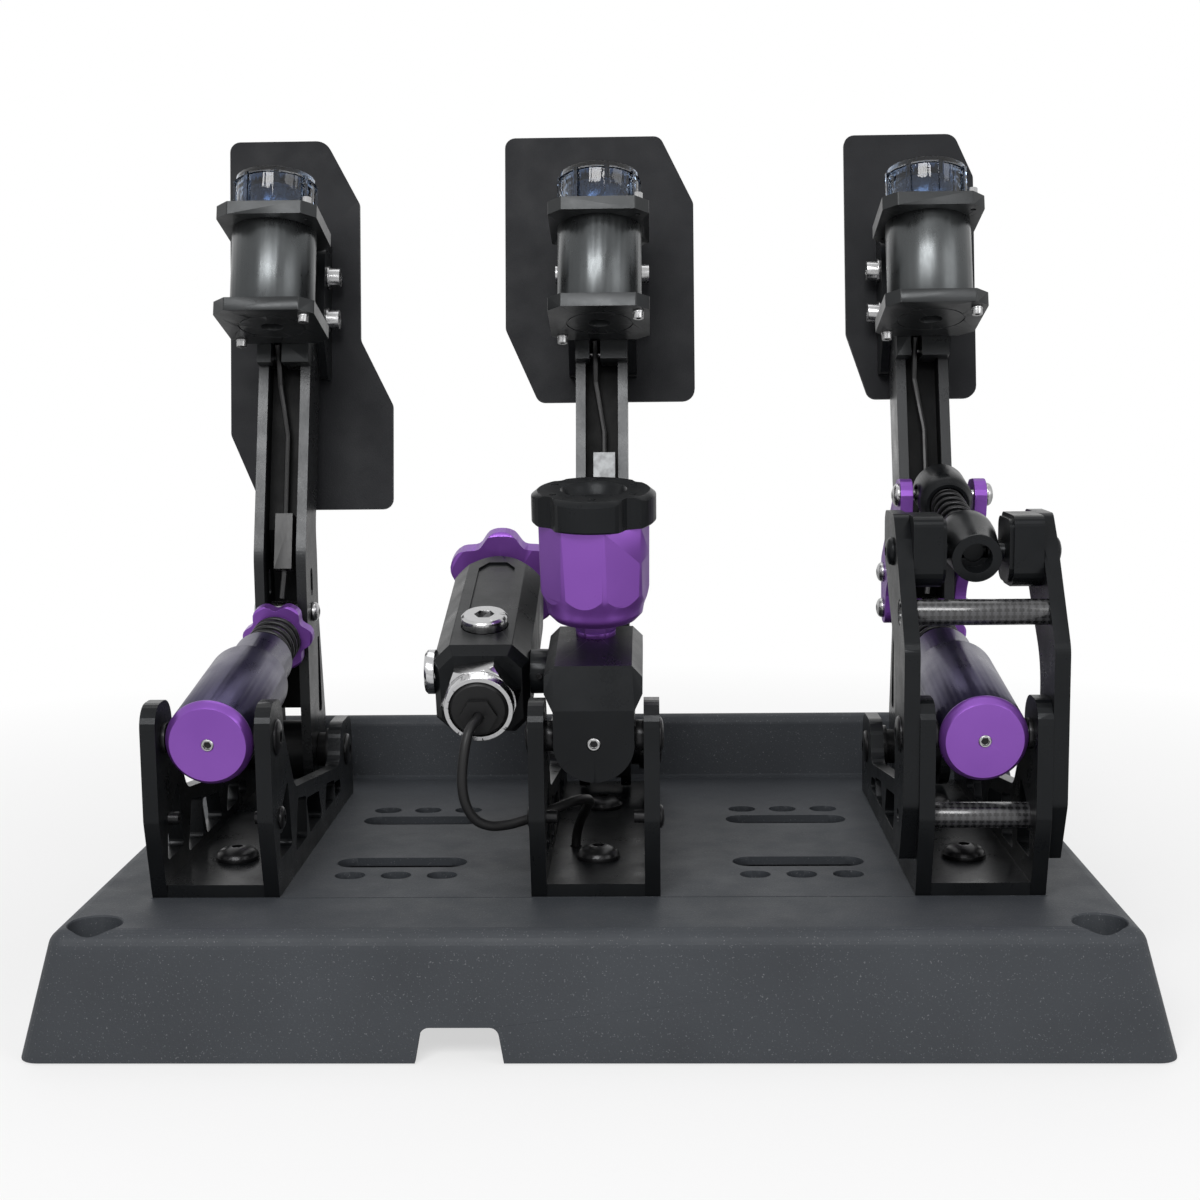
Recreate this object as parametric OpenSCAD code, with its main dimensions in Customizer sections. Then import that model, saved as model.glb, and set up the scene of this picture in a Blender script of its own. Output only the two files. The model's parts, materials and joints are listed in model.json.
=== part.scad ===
// Three-pedal sim racing set: throttle, brake and clutch on a moulded base.
// X runs across the set, Y towards the driver and Z up; the origin is the
// centre of the base's underside. Each pedal bay has its own frame, with its
// origin on the deck at the middle of the channel's front edge.

/* [Base] */
// Width of the base at the floor
base_w = 425; // [400:1:480]
// Depth of the base at the floor
base_d = 280; // [270:1:340]
// Height of the deck above the floor
base_h = 48; // [40:1:70]
// Wall thickness of the moulding
base_wall = 3.5; // [2.5:0.1:5]
// How far each side leans in from floor to deck
side_flare = 11; // [5:1:16]
// How far the front leans in from floor to deck
front_flare = 4; // [2:1:12]
// How far the back leans in from floor to the top of the heel stop
rear_flare = 16; // [8:1:20]
// Radius of the rounded top edges
edge_r = 7; // [4:0.5:8]
// Radius of the upright corners at the floor
corner_r = 8; // [7:0.5:12]
// Height of the heel stop above the deck
heel_h = 31; // [15:1:45]
// Thickness of the heel stop at its top
heel_t = 10; // [8:0.5:16]
// Width of the cable notch in the front skirt
notch_w = 31; // [15:1:45]
// Height of the cable notch
notch_h = 13; // [6:0.5:20]
// Place of the cable notch across the front
notch_x = -49; // [-70:1:-30]

/* [Base fixings] */
// Distance across between the corner bolts
corner_bolt_dx = 371; // [360:1:372]
// Distance front to back between the corner bolts
corner_bolt_dy = 212; // [190:1:216]
// Diameter of the corner bolt wells
well_d = 20; // [14:1:22]
// Diameter of the corner bolt holes
corner_hole_d = 8.6; // [6:0.1:10]
// Length of the long deck slots
slot_l = 54; // [30:1:58]
// Width of the long deck slots
slot_w = 14.5; // [8:0.5:16]
// Distance across between the long slots
slot_dx = 164; // [160:1:168]
// Distance front to back between the long slots
slot_dy = 70; // [50:1:76]
// Length of the short deck slots
port_l = 12.4; // [9:0.2:15]
// Width of the short deck slots
port_w = 10.4; // [6:0.2:12]
// Pitch of the short deck slots
port_pitch = 18.7; // [17:0.1:20]
// Distance front to back between the rows of short slots
port_dy = 108; // [104:1:112]

/* [Channels] */
// Distance between pedal centres
bay_pitch = 148; // [140:1:156]
// Distance from the base's front edge to the channels
bay_setback = 48.5; // [44:0.5:54]
// Outside width of a channel
ch_w = 50; // [49:0.5:56]
// Length of a channel
ch_l = 175; // [174:1:186]
// Thickness of a channel's walls
ch_wall = 6; // [4:0.5:6.4]
// Thickness of a channel's floor
ch_floor = 5; // [3:0.5:6]
// Height of the front ears
ear_h = 77; // [75:1:84]
// Width of the ears, front to back
ear_w = 24; // [20:1:28]
// How far the ears stand ahead of the channel
ear_reach = 8; // [4:1:10]
// Diameter of the floor bolts
floor_bolt_d = 8; // [6:0.5:9]

/* [Pedal arms] */
// Place of the pedal axle behind the channel's front
axle_y = 160; // [158:0.5:162]
// Height of the pedal axle above the deck
axle_z = 24.5; // [24:0.5:28]
// Diameter of the pedal axle
axle_d = 12; // [8:0.5:14]
// Width of a pedal arm
arm_w = 24; // [22:0.5:26]
// Depth of the upper arm, front to back
arm_depth = 23; // [20:0.5:26]
// Thickness of an arm's side flanges
arm_flange = 4.5; // [3:0.5:5]
// Thickness of an arm's web
arm_web = 4; // [3:0.5:5]
// Lean of the upper arm back from upright
arm_lean = 17; // [14:0.5:19]
// Length of the upper arm above the bend
arm_top = 150; // [146:1:154]
// Radial clearance between an axle and its bore
fit = 0.05; // [0.02:0.01:0.08]

/* [Pedal plates] */
// Lean of the pedal plates back from upright
plate_lean = 10; // [8:0.5:12]
// Thickness of the pedal plates
plate_t = 3; // [2:0.5:5]
// Height of the plates above the bracket's middle
plate_up = 82; // [70:1:88]
// Depth of the brake and clutch plates below the bracket's middle
plate_down = 47.5; // [44:0.5:56]
// Depth of the throttle plate below the bracket's middle
throttle_down = 98.5; // [90:0.5:104]
// Thickness of the bracket's cheeks
cheek_t = 4; // [3:0.5:5]

/* [Haptic motors] */
// Diameter of the motor can
motor_d = 38; // [34:0.5:39]
// Width of the motor's clamp plates
clamp_w = 45; // [43:0.5:48]
// Depth of the motor's clamp plates
clamp_l = 48; // [46:0.5:52]
// Thickness of the clamp plates
clamp_t = 6; // [4:0.5:7]
// Distance between the middles of the clamp plates
clamp_gap = 44.5; // [40:0.5:48]
// Height of the clear cap above the upper plate
dome_h = 19; // [16:0.5:24]

/* [Spring barrels] */
// Tilt of the barrels up towards the driver
barrel_tilt = 9; // [8:0.5:10]
// Place of the barrel pivot behind the channel's front
pivot_y = 4; // [2:0.5:6]
// Height of the barrel pivot above the deck
pivot_z = 62.7; // [61:0.5:64]
// Diameter of the barrel's wide part
barrel_d = 34; // [33:0.5:36]
// Diameter of the barrel's narrow part
neck_d = 26; // [25.5:0.5:28]
// Outside diameter of the barrel spring
spring_d = 22.4; // [20:0.2:22.6]
// Wire of the barrel spring
wire_d = 2.3; // [1.6:0.1:2.4]
// Diameter of the barrel's rod
rod_d = 8; // [7:0.5:9]
// Diameter of the preload knob
knob_d = 32; // [30:0.5:32.5]

/* [Brake hydraulics] */
// Width of the master cylinder's upper block
block_w = 37.4; // [34:0.2:37.6]
// Diameter of the master cylinder's round body
master_d = 31; // [28:0.5:32]
// Distance across the flats of the fluid cup
cup_af = 41; // [38:0.5:44]
// Height of the fluid cup
cup_h = 39.5; // [34:0.5:46]
// Diameter of the fluid cup's cap
cap_d = 49; // [45:0.5:50]
// Width of the pressure cylinder's body
slave_w = 38.4; // [36:0.2:40]
// Length of the pressure cylinder's body
slave_l = 114; // [106:1:118]
// Place of the pressure cylinder across from the brake's middle
slave_x = -46; // [-48:0.5:-46]
// Tilt of the pressure cylinder up towards the driver
slave_tilt = 14.8; // [14:0.2:15.4]
// Diameter of the pressure cylinder's knob
slave_knob_d = 52; // [46:1:54]
// Diameter of the sensor cable
cable_d = 4; // [3:0.5:4.5]

/* [Clutch assist] */
// Thickness of the clutch side plates
side_t = 6; // [4:0.5:8]
// Height of the assist's front pivot above the deck
assist_z = 130.5; // [129:0.5:132]
// Place of the assist's front pivot behind the channel's front
assist_y = 28; // [27:0.5:29]
// Outside diameter of the assist spring
assist_spring_d = 14.5; // [13:0.5:15]
// Diameter of the assist's cups
assist_cup_d = 23; // [21:0.5:24]
// Thickness of the link plates
link_t = 5.5; // [4:0.5:6]
// Diameter of the carbon tubes
tube_d = 10; // [8:0.5:12]

/* [Hidden] */
$fn = 48;
hull_fn = 32;

throttle = -1;
brake = 0;
clutch = 1;
front_y = -base_d / 2 + bay_setback;
deck_w = base_w - 2 * side_flare;
ch_in = ch_w - 2 * ch_wall;
black = [0.09, 0.09, 0.10];
satin = [0.16, 0.16, 0.17];
purple = [0.46, 0.28, 0.68];
steel = [0.74, 0.74, 0.76];
eps = 0.01;

// Outlines: rounded() turns corner points [x, y, radius] into a smooth polygon
function unit(v) = v / norm(v);
function corner(p, a, b, n) =
  let (q = [p[0], p[1]], u = unit([a[0], a[1]] - q), v = unit([b[0], b[1]] - q))
  let (half = acos(u * v) / 2, c = q + unit(u + v) * p[2] / sin(half))
  let (s = q + u * p[2] / tan(half) - c, e = q + v * p[2] / tan(half) - c)
  let (a0 = atan2(s[1], s[0]), d = (atan2(e[1], e[0]) - a0 + 540) % 360 - 180)
  p[2] == 0 ? [q] : [for (i = [0 : n]) c + p[2] * [cos(a0 + d * i / n), sin(a0 + d * i / n)]];
function rounded(pts, n = 6) =
  [for (i = [0 : len(pts) - 1])
    each corner(pts[i], pts[(i + len(pts) - 1) % len(pts)], pts[(i + 1) % len(pts)], n)];
function mirrored(pts) = concat(pts, [for (i = [len(pts) - 1 : -1 : 0]) [-pts[i][0], pts[i][1], pts[i][2]]]);
// A star outline: n lobes of radius r joined by scallops of depth cut
function star(r, cut, n, steps) =
  [for (i = [0 : n * steps - 1]) let (a = 360 * i / (n * steps))
    (r - cut * pow((1 - cos(a * n)) / 2, 1.6)) * [cos(a), sin(a)]];

// Frames
module bay(i) translate([i * bay_pitch, front_y, base_h]) children();
module profile_x(t, x = 0) translate([x, 0, 0]) rotate([90, 0, 90])
  linear_extrude(t, center = true) children();
module rod_x(d, l, x = 0) translate([x, 0, 0]) rotate([0, 90, 0]) cylinder(d = d, h = l, center = true);
module rod_y(d, y0, y1) translate([0, y0, 0]) rotate([-90, 0, 0]) cylinder(d = d, h = y1 - y0);
module cone_y(d0, d1, y0, y1) translate([0, y0, 0]) rotate([-90, 0, 0])
  cylinder(d1 = d0, d2 = d1, h = y1 - y0);

// Base moulding
well_y = [-124, -124 + corner_bolt_dy];
slot_y = -7;
heel_back = base_d / 2 - rear_flare;
heel_front = heel_back - heel_t;
heel_foot = heel_front - 7;
rib_t = 2.5;
rib_h = 18;
rear_at_deck = base_d / 2 - rear_flare * base_h / (base_h + heel_h);

module tray_hull(inset, top) {
  r = edge_r - inset / 2;
  hull() for (sx = [-1, 1]) {
    for (y = [-base_d / 2 + corner_r, base_d / 2 - corner_r])
      translate([sx * (base_w / 2 - corner_r), y, 0]) cylinder(r = corner_r - inset, h = 0.5, $fn = hull_fn);
    for (y = [-base_d / 2 + front_flare + inset + r, rear_at_deck - inset - r])
      translate([sx * (deck_w / 2 - inset - r), y, top - r]) sphere(r = r, $fn = hull_fn);
  }
}
module heel_hull(inset) {
  r = heel_t / 2 - inset;
  x = deck_w / 2 - heel_t / 2 - side_flare * heel_h / base_h;
  hull() for (sx = [-1, 1]) {
    translate([sx * x, heel_front + heel_t / 2, base_h + heel_h - heel_t / 2]) sphere(r = r, $fn = hull_fn);
    for (y = [heel_front + heel_t / 2 - 2, rear_at_deck - heel_t / 2])
      translate([sx * (deck_w / 2 - heel_t / 2), y, base_h - heel_t / 2]) sphere(r = r, $fn = hull_fn);
  }
}
module heel_fillet() translate([0, heel_front + 1, base_h])
  rotate([90, 0, 90]) linear_extrude(deck_w - 4 * edge_r, center = true)
    polygon(concat([[2, -1], [-7, -1]], [for (a = [0 : 15 : 90]) [-7 + 7 * sin(a), 7 - 7 * cos(a)]]));
module deck_slot(l, w) linear_extrude(4 * base_wall, center = true) union() {
  square([l - w, w], center = true);
  for (s = [-1, 1]) translate([s * (l - w) / 2, 0]) circle(d = w);
}
module slots() translate([0, slot_y, base_h]) for (sx = [-1, 1]) {
  for (sy = [-1, 1]) {
    translate([sx * slot_dx / 2, sy * slot_dy / 2, 0]) deck_slot(slot_l, slot_w);
    for (k = [-1 : 1]) translate([sx * slot_dx / 2 + k * port_pitch, sy * port_dy / 2, 0])
      deck_slot(port_l, port_w);
  }
}
module at_wells() for (sx = [-1, 1], y = well_y) translate([sx * corner_bolt_dx / 2, y, 0]) children();
module ribs() difference() {
  union() {
    for (x = [-1, 0, 1], s = [-1, 1])
      translate([x * bay_pitch + s * (ch_w / 2 - 4), -4, base_h - rib_h / 2 - 1])
      cube([rib_t, base_d - 46, rib_h], center = true);
    for (y = [-100, slot_y, 86]) translate([0, y, base_h - rib_h / 2 - 1])
      cube([deck_w - 8, rib_t, rib_h], center = true);
  }
  translate([notch_x, -base_d / 2 + 58, base_h - rib_h]) cube([92, 70, 3 * rib_h], center = true);
}
module base_tray() color(satin) difference() {
  union() {
    difference() {
      union() {
        tray_hull(0, base_h);
        heel_hull(0);
        heel_fillet();
      }
      translate([0, 0, -eps]) tray_hull(base_wall, base_h - base_wall);
      heel_hull(base_wall - 0.5);
    }
    intersection() {
      union() {
        ribs();
        at_wells() cylinder(d = well_d + 6, h = base_h - 2);
      }
      tray_hull(base_wall / 2, base_h - 1);
    }
  }
  at_wells() {
    translate([0, 0, 5]) cylinder(d = well_d, h = base_h);
    translate([0, 0, -1]) cylinder(d = corner_hole_d, h = base_h);
    translate([0, 0, base_h - 0.6]) cylinder(d1 = well_d, d2 = well_d + 1.4, h = 0.7);
  }
  slots();
  translate([0, front_y - 0.6, base_h]) cube([deck_w - 56, 0.8, 0.8], center = true);
  floor_bolt_places() translate([0, 0, -base_wall - 1]) cylinder(d = floor_bolt_d + 0.6, h = 2 * base_wall);
  translate([notch_x, -base_d / 2, 0]) rotate([90, 0, 0]) linear_extrude(40, center = true)
    polygon(rounded([[-notch_w / 2 - 1, -1, 0], [notch_w / 2 + 1, -1, 0],
      [notch_w / 2 - 1.5, notch_h, 3.5], [-notch_w / 2 + 1.5, notch_h, 3.5]]));
}

// Electronics under the deck, behind the cable notch
box_y = -base_d / 2 + 24;
box_l = 50;
under_gap = 0.1;
module control_box() color(black) translate([notch_x, box_y, base_h - base_wall - under_gap - 24])
  difference() {
  translate([0, box_l / 2, 12]) cube([84, box_l, 24], center = true);
  translate([0, 0, 9]) rotate([90, 0, 0]) linear_extrude(24, center = true)
    polygon(rounded(mirrored([[-6, -5, 0.8], [-6, 3, 0.8], [-4, 5.4, 0.8]])));
}

// Channels
rail_z0 = 35.5;
rail_z1 = 21;
boss_r = 15;
tab_y = 7;
tab_z = 30;
bolt_y = [38, 124];
shank_fit = 0.1;

function wall_outline() = rounded([
  [0, 0, 0], [ch_l, 0, 0], [axle_y + boss_r, axle_z, 0.5],
  [axle_y + boss_r - 1, axle_z + boss_r, 9], [axle_y - boss_r + 1, axle_z + boss_r, 9],
  [axle_y - boss_r - 5, rail_z1, 8], [ear_w + 12, rail_z0, 10],
  [ear_w - ear_reach + 1, ear_h - 14, 16], [ear_w - ear_reach, ear_h, 10],
  [-ear_reach, ear_h, 9], [-ear_reach, 32, 6]
]);
function rail(y) = rail_z0 + (rail_z1 - rail_z0) * (y - ear_w - 12) / (axle_y - boss_r - 17 - ear_w);
windows = [[34, 58, -7, 0], [65, 92, 7, -5], [100, 121, -5, 5], [127, 141, 4, -2]];
module wall_2d() difference() {
  polygon(wall_outline());
  for (w = windows) polygon(rounded([
    [w[0], ch_floor + 4, 2], [w[1], ch_floor + 4, 2],
    [w[1] + w[3], rail(w[1]) - 6, 2], [w[0] - w[2], rail(w[0]) - 6, 2]], 4));
  translate([pivot_y + 15, ch_floor + 17])
    polygon(rounded([[-16, -8, 2], [8, -8, 2], [3, 20, 2], [-14, 9, 2]], 4));
}
module channel(i, tab = true) color(black) bay(i) difference() {
  union() {
    for (s = [-1, 1]) profile_x(ch_wall, s * (ch_w - ch_wall) / 2) wall_2d();
    translate([-ch_w / 2 + 1, 0, 0]) cube([ch_w - 2, ch_l, ch_floor]);
    for (s = [-1, 1]) translate([0, tab_y, tab_z]) rod_x(12, ch_wall, s * (ch_w - ch_wall) / 2);
  }
  translate([0, axle_y, axle_z]) rod_x(axle_d + 2 * fit, ch_w + 2);
  if (i == brake) translate([grommet[0], grommet[1], -1]) cylinder(d = cable_d + 1, h = 2 * ch_floor);
  translate([0, pivot_y, pivot_z]) rod_x(pivot_bolt_d + 2 * shank_fit, ch_w + 2);
  translate([0, tab_y, tab_z]) rod_x(tab ? 5 + 2 * shank_fit : tube_d + 2 * fit, ch_w + 2);
  for (y = bolt_y) translate([0, y, 0]) hull() for (dy = [0, 12])
    translate([0, dy, -1]) cylinder(d = floor_bolt_d + 0.6, h = ch_floor + 2, $fn = hull_fn);
}

// A button head, its dome towards +Z, with a hex socket
module button(d, h, socket) difference() {
  rotate_extrude() polygon(concat([[0, 0], [d / 2, 0], [d / 2, h * 0.3]],
    [for (a = [0 : 15 : 75]) [d / 2 * cos(a) * 0.98, h * 0.3 + h * 0.7 * sin(a)]], [[0, h]]));
  translate([0, 0, h * 0.45]) cylinder(d = socket, h = h, $fn = 6);
}
module floor_bolt_places() for (i = [-1, 0, 1], y = bolt_y) bay(i) translate([0, y, 0]) children();
module channel_bolts() color(black) floor_bolt_places() {
  translate([0, 0, ch_floor]) button(17.5, 5.5, 5);
  translate([0, 0, -16]) cylinder(d = floor_bolt_d, h = 16 + ch_floor);
  translate([0, 0, -base_wall - 8 - under_gap]) difference() {
    union() {
      cylinder(d = 14, h = 6.5, $fn = 6);
      translate([0, 0, 6.5]) cylinder(d = 17, h = 1.5);
    }
    translate([0, 0, -1]) cylinder(d = floor_bolt_d, h = 12);
  }
}
bolt_head_h = 1.8;
function ear_x(i) = i == clutch ? ch_w / 2 + side_t : ch_w / 2;
module wall_bolt(x, head, shank, len, spacer_d = 0, spacer_l = 0) for (s = [-1, 1]) rotate([0, s * 90, 0]) {
  translate([0, 0, x]) button(head, bolt_head_h, head * 0.34);
  translate([0, 0, x - len]) cylinder(d = shank, h = len);
  if (spacer_l > 0) translate([0, 0, ch_in / 2 - spacer_l]) cylinder(d = spacer_d, h = spacer_l);
}
module wall_bolts() color(black) for (i = [-1, 0, 1]) bay(i) {
  body_x = i == brake ? master_d / 2 : barrel_d / 2;
  translate([0, pivot_y, pivot_z])
    wall_bolt(ear_x(i), 14, pivot_bolt_d, ear_x(i) - body_x + 6, 12, ch_in / 2 - body_x - 0.3);
  translate([0, axle_y, axle_z]) wall_bolt(ch_w / 2, 15, 7, 16);
  if (i != clutch) translate([0, tab_y, tab_z]) wall_bolt(ch_w / 2, 9, 5, ch_wall + 4);
}
module pedal_axles() color(black) for (i = [-1, 0, 1]) bay(i) translate([0, axle_y, axle_z]) {
  difference() {
    rod_x(axle_d, ch_w - 0.4);
    for (s = [-1, 1]) rod_x(7, 18, s * (ch_w / 2 - 8));
  }
  for (s = [-1, 1]) difference() {
    union() {
      rod_x(20, 3, s * (ch_in / 2 - 1.5));
      rod_x(16, ch_in / 2 - arm_w / 2 - 3 - 0.3, s * (ch_in / 4 + arm_w / 4 - 1.5 + 0.15));
    }
    rod_x(axle_d + 2 * fit, ch_w);
  }
}

// Pedal arms
kink_y = axle_y - 15;
kink_z = axle_z + 108.5;
arm_toe_r = 17.5;
pin_y = axle_y - 6;
pin_z = axle_z + 66.9;
pin_d = 6;
link_hole_z = pin_z + 16.6;
function lean_pt(s, d, r) = [kink_y + s * sin(arm_lean) + d * cos(arm_lean),
                             kink_z + s * cos(arm_lean) - d * sin(arm_lean), r];
function arm_outline() = rounded([
  [axle_y - arm_toe_r, axle_z - arm_toe_r, 17], [axle_y + arm_toe_r, axle_z - arm_toe_r, 17],
  [axle_y + arm_toe_r + 1, 38, 12], [axle_y + 8.5, 90, 40], [axle_y + 9, 116, 60],
  lean_pt(4, arm_depth, 30), lean_pt(arm_top, arm_depth, 4), lean_pt(arm_top, 0, 8),
  [kink_y - 4.5, kink_z - 4.5 / tan(arm_lean), 30], [kink_y - 4.5, 50, 40]
]);
web_d = 11;
web_y = axle_y + 3.5;
function lean_xy(s, d) = [for (k = [0, 1]) lean_pt(s, d, 0)[k]];
function web_outline() = [
  [web_y, 44], [web_y, 112], lean_xy(-9.6, web_d + 5.5), lean_xy(0, web_d),
  lean_xy(arm_top - 3, web_d), lean_xy(arm_top - 3, web_d + arm_web),
  lean_xy(0, web_d + arm_web), lean_xy(-8.4, web_d + arm_web + 5.4),
  [web_y + arm_web, 113], [web_y + arm_web, 44]
];
module on_arm(i) bay(i) translate([0, kink_y, kink_z]) rotate([-arm_lean, 0, 0]) children();
module arm_slot(y, z, w, h) translate([y, z]) union() {
  square([w, h - w], center = true);
  for (s = [-1, 1]) translate([0, s * (h - w) / 2]) circle(d = w);
}
module arm_side_2d(i) difference() {
  polygon(arm_outline());
  translate([axle_y, 0]) polygon(rounded([[2, 42, 2], [10, 42, 2], [7.5, 78, 0.8], [4, 78, 0.8]], 4));
  if (i != clutch) arm_slot(pin_y - 0.5, 105.5, 5, 13);
}
bracket_s = [103.5, 124.5];
bracket_y = 16.5;
motor_y = -30;
motor_s = 110;
spine_t = 5.5;
spine_s = [76, 138];
module arm(i) color(black) difference() {
  union() {
    bay(i) {
      for (s = [-1, 1]) profile_x(arm_flange, s * (arm_w - arm_flange) / 2) arm_side_2d(i);
      profile_x(arm_w - 2 * arm_flange) polygon(web_outline());
      translate([0, axle_y, axle_z]) rod_x(2 * arm_toe_r - 7, arm_w - 2 * arm_flange);
    }
  }
  bay(i) {
    translate([0, axle_y, axle_z]) rod_x(axle_d + 2 * fit, arm_w + 2);
    translate([0, pin_y, pin_z]) rod_x(pin_d, arm_w + 2);
    if (i == clutch) translate([0, pin_y, link_hole_z]) rod_x(5, arm_w + 2);
  }
  on_arm(i) {
    for (s = bracket_s) translate([0, bracket_y, s]) rod_x(5, arm_w + 2);
    for (s = [82, 132]) translate([0, 8, s]) rod_x(3.3, arm_w + 2);
  }
}

// Pedal plates, seen from the front; the second axis runs up the plate
plate_ref = [114, 29];
plate_rows = [-26, 16];
module on_plate(i) on_arm(i) translate([0, plate_ref[1], plate_ref[0]])
  rotate([arm_lean - plate_lean, 0, 0]) children();
brake_pts = [[-47.3, plate_up, 5], [28, plate_up, 5], [44, plate_up - 33, 5], [44, -plate_down, 6],
             [-31.5, -plate_down, 5], [-47.3, -12, 6]];
throttle_pts = [[-34, plate_up, 5], [13, plate_up, 8], [29.5, plate_up - 31, 5], [30, -16, 6],
                [45.8, -48, 6], [45.8, -throttle_down, 5], [-17, -throttle_down, 5], [-33, -62, 6]];
clutch_pts = [[-31, plate_up - 1, 5], [22, plate_up - 1, 6], [31, plate_up - 22, 5], [31, -plate_down, 6],
              [-20.5, -plate_down, 5], [-31, -16, 6]];
module pedal_plate(i, pts) color(satin) on_plate(i) translate([0, 0.3 + plate_t, 0])
  rotate([90, 0, 0]) linear_extrude(plate_t) difference() {
    polygon(rounded(pts));
    for (x = [-9, 9], z = plate_rows) translate([x, z]) circle(d = 4.5);
  }
module bracket(i) color(black) difference() {
  union() {
    for (s = [-1, 1]) on_arm(i) profile_x(cheek_t, s * (arm_w / 2 + cheek_t / 2 + 0.1)) intersection() {
      polygon(rounded([[9, 94, 4], [9, 136, 5], [30, 146, 0], [40, 146, 0], [40, 80, 0], [24, 76, 3]]));
      translate([plate_ref[1], plate_ref[0]]) rotate(arm_lean - plate_lean)
        translate([-60, -100]) square([60, 200]);
    }
    on_plate(i) translate([0, -1.5, -5]) cube([arm_w + 2 * cheek_t + 0.2, 3, 54], center = true);
  }
  on_arm(i) for (s = bracket_s) translate([0, bracket_y, s]) rod_x(5.2, 60);
  on_plate(i) for (x = [-9, 9], z = plate_rows) translate([x, 0, z]) rod_y(4.2, -10, 10);
}
// A cap screw along +Z with its head above the origin and a washer under it
module cap_screw(d, head, washer, len) {
  translate([0, 0, 1.2]) difference() {
    cylinder(d = head, h = d);
    translate([0, 0, d * 0.5]) cylinder(d = d * 0.9, h = d, $fn = 6);
  }
  cylinder(d = washer, h = 1.2);
  translate([0, 0, -len]) cylinder(d = d, h = len + 0.6);
}
module screws(i) color(steel) {
  on_arm(i) {
    for (s = bracket_s, side = [-1, 1]) translate([side * (arm_w / 2 + cheek_t + 0.1), bracket_y, s])
      rotate([0, side * 90, 0]) cap_screw(5, 9, 11, cheek_t + 5);
    for (s = [-1, 1], k = [-1, 1])
      translate([s * 17.5, motor_y - s * 17, motor_s + k * (clamp_gap / 2 + clamp_t / 2)])
        rotate([k > 0 ? 0 : 180, 0, 0]) cap_screw(2.5, 4.5, 5, 4);
  }
  on_arm(i) for (s = [82, 132]) translate([0, 8, s]) rod_x(3.3, arm_w - 0.4);
  on_plate(i) for (x = [-9, 9], z = plate_rows)
    translate([x, plate_t + 0.3, z]) rotate([-90, 0, 0]) button_screw(4, 7.5, plate_t + 3.2);
  bay(i) translate([0, pin_y, pin_z]) {
    rod_x(pin_d, i == clutch ? arm_w + 2 * link_gap + 2 * link_t : arm_w + 0.4);
    for (s = [-1, 1]) translate([s * pin_head_x(i), 0, 0]) rotate([0, s * 90, 0]) button(9, 3.2, 3);
  }
  if (i == clutch) bay(i) {
    translate([0, pin_y, link_hole_z]) {
      rod_x(5, arm_w + 2 * link_gap + 2 * link_t);
      for (s = [-1, 1]) translate([s * pin_head_x(i), 0, 0]) rotate([0, s * 90, 0]) button(9, 3.2, 3);
    }
    translate([0, assist_pin[0], assist_pin[1]]) for (s = [-1, 1]) rotate([0, s * 90, 0]) {
      translate([0, 0, pin_head_x(i)]) button(10, 3.2, 3.5);
      translate([0, 0, assist_cup_d / 2 - 4]) cylinder(d = 5, h = pin_head_x(i) + 4 - assist_cup_d / 2);
    }
  }
}
module button_screw(d, head, len) {
  button(head, d * 0.55, d * 0.6);
  translate([0, 0, -len]) cylinder(d = d - 0.2, h = len + 0.2);
}
link_gap = 1;
function pin_head_x(i) = i == clutch ? arm_w / 2 + link_gap + link_t : arm_w / 2 + 0.2;

// Haptic motors
clamp_c = 6;
clamp_pts = mirrored([[-clamp_w / 2 + clamp_c, -clamp_l / 2, 1], [-clamp_w / 2, -clamp_l / 2 + clamp_c, 1],
                      [-clamp_w / 2, clamp_l / 2 - clamp_c, 1], [-clamp_w / 2 + clamp_c, clamp_l / 2, 1]]);
module on_motor(i) on_arm(i) translate([0, motor_y, motor_s]) children();
module clamp(i) color(black) difference() {
  union() {
    for (k = [-1, 1]) on_motor(i) translate([0, 0, k * clamp_gap / 2]) linear_extrude(clamp_t, center = true)
      polygon(rounded([for (p = clamp_pts) p], 3));
    on_arm(i) translate([-arm_w / 2, -spine_t, spine_s[0]])
      cube([arm_w, spine_t - 0.05, spine_s[1] - spine_s[0]]);
    on_arm(i) for (s = [82, 132]) translate([-arm_w / 2 + arm_flange + 0.2, -1, s - 5])
      cube([arm_w - 2 * arm_flange - 0.4, 11, 10]);
  }
  on_motor(i) {
    translate([0, 0, clamp_gap / 2 - clamp_t]) cylinder(d = 30, h = 2 * clamp_t);
    translate([0, 0, -clamp_gap / 2 - clamp_t / 2 - 1]) cylinder(d = 10, h = clamp_t + 2);
    translate([0, 0, -clamp_gap / 2 - clamp_t / 2 - 1]) difference() {
      cylinder(d = 30, h = 1.4);
      cylinder(d = 28.8, h = 1.4);
    }
    for (s = [-1, 1], k = [-1, 1]) translate([s * 17.5, -s * 17, k * clamp_gap / 2])
      cylinder(d = 2.5, h = clamp_t + 2, center = true);
  }
  on_arm(i) for (s = [82, 132]) translate([0, 8, s]) rod_x(3.3, arm_w + 2);
  on_arm(i) translate([-5.5, -7, spine_s[0] - 1]) cube([5, 20, 11]);
}
can_l = clamp_gap - clamp_t - 0.1;
lead_d = 2.6;
function plug_s(i) = i == brake ? 26.5 : -7;
function lead_pts(i) = [[-3, -3, 85.4], [-3, 2, 78], [-3, 6, 68], [-1, 7, 56], [1, 7, 44], [1, 7, plug_s(i)]];
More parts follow.
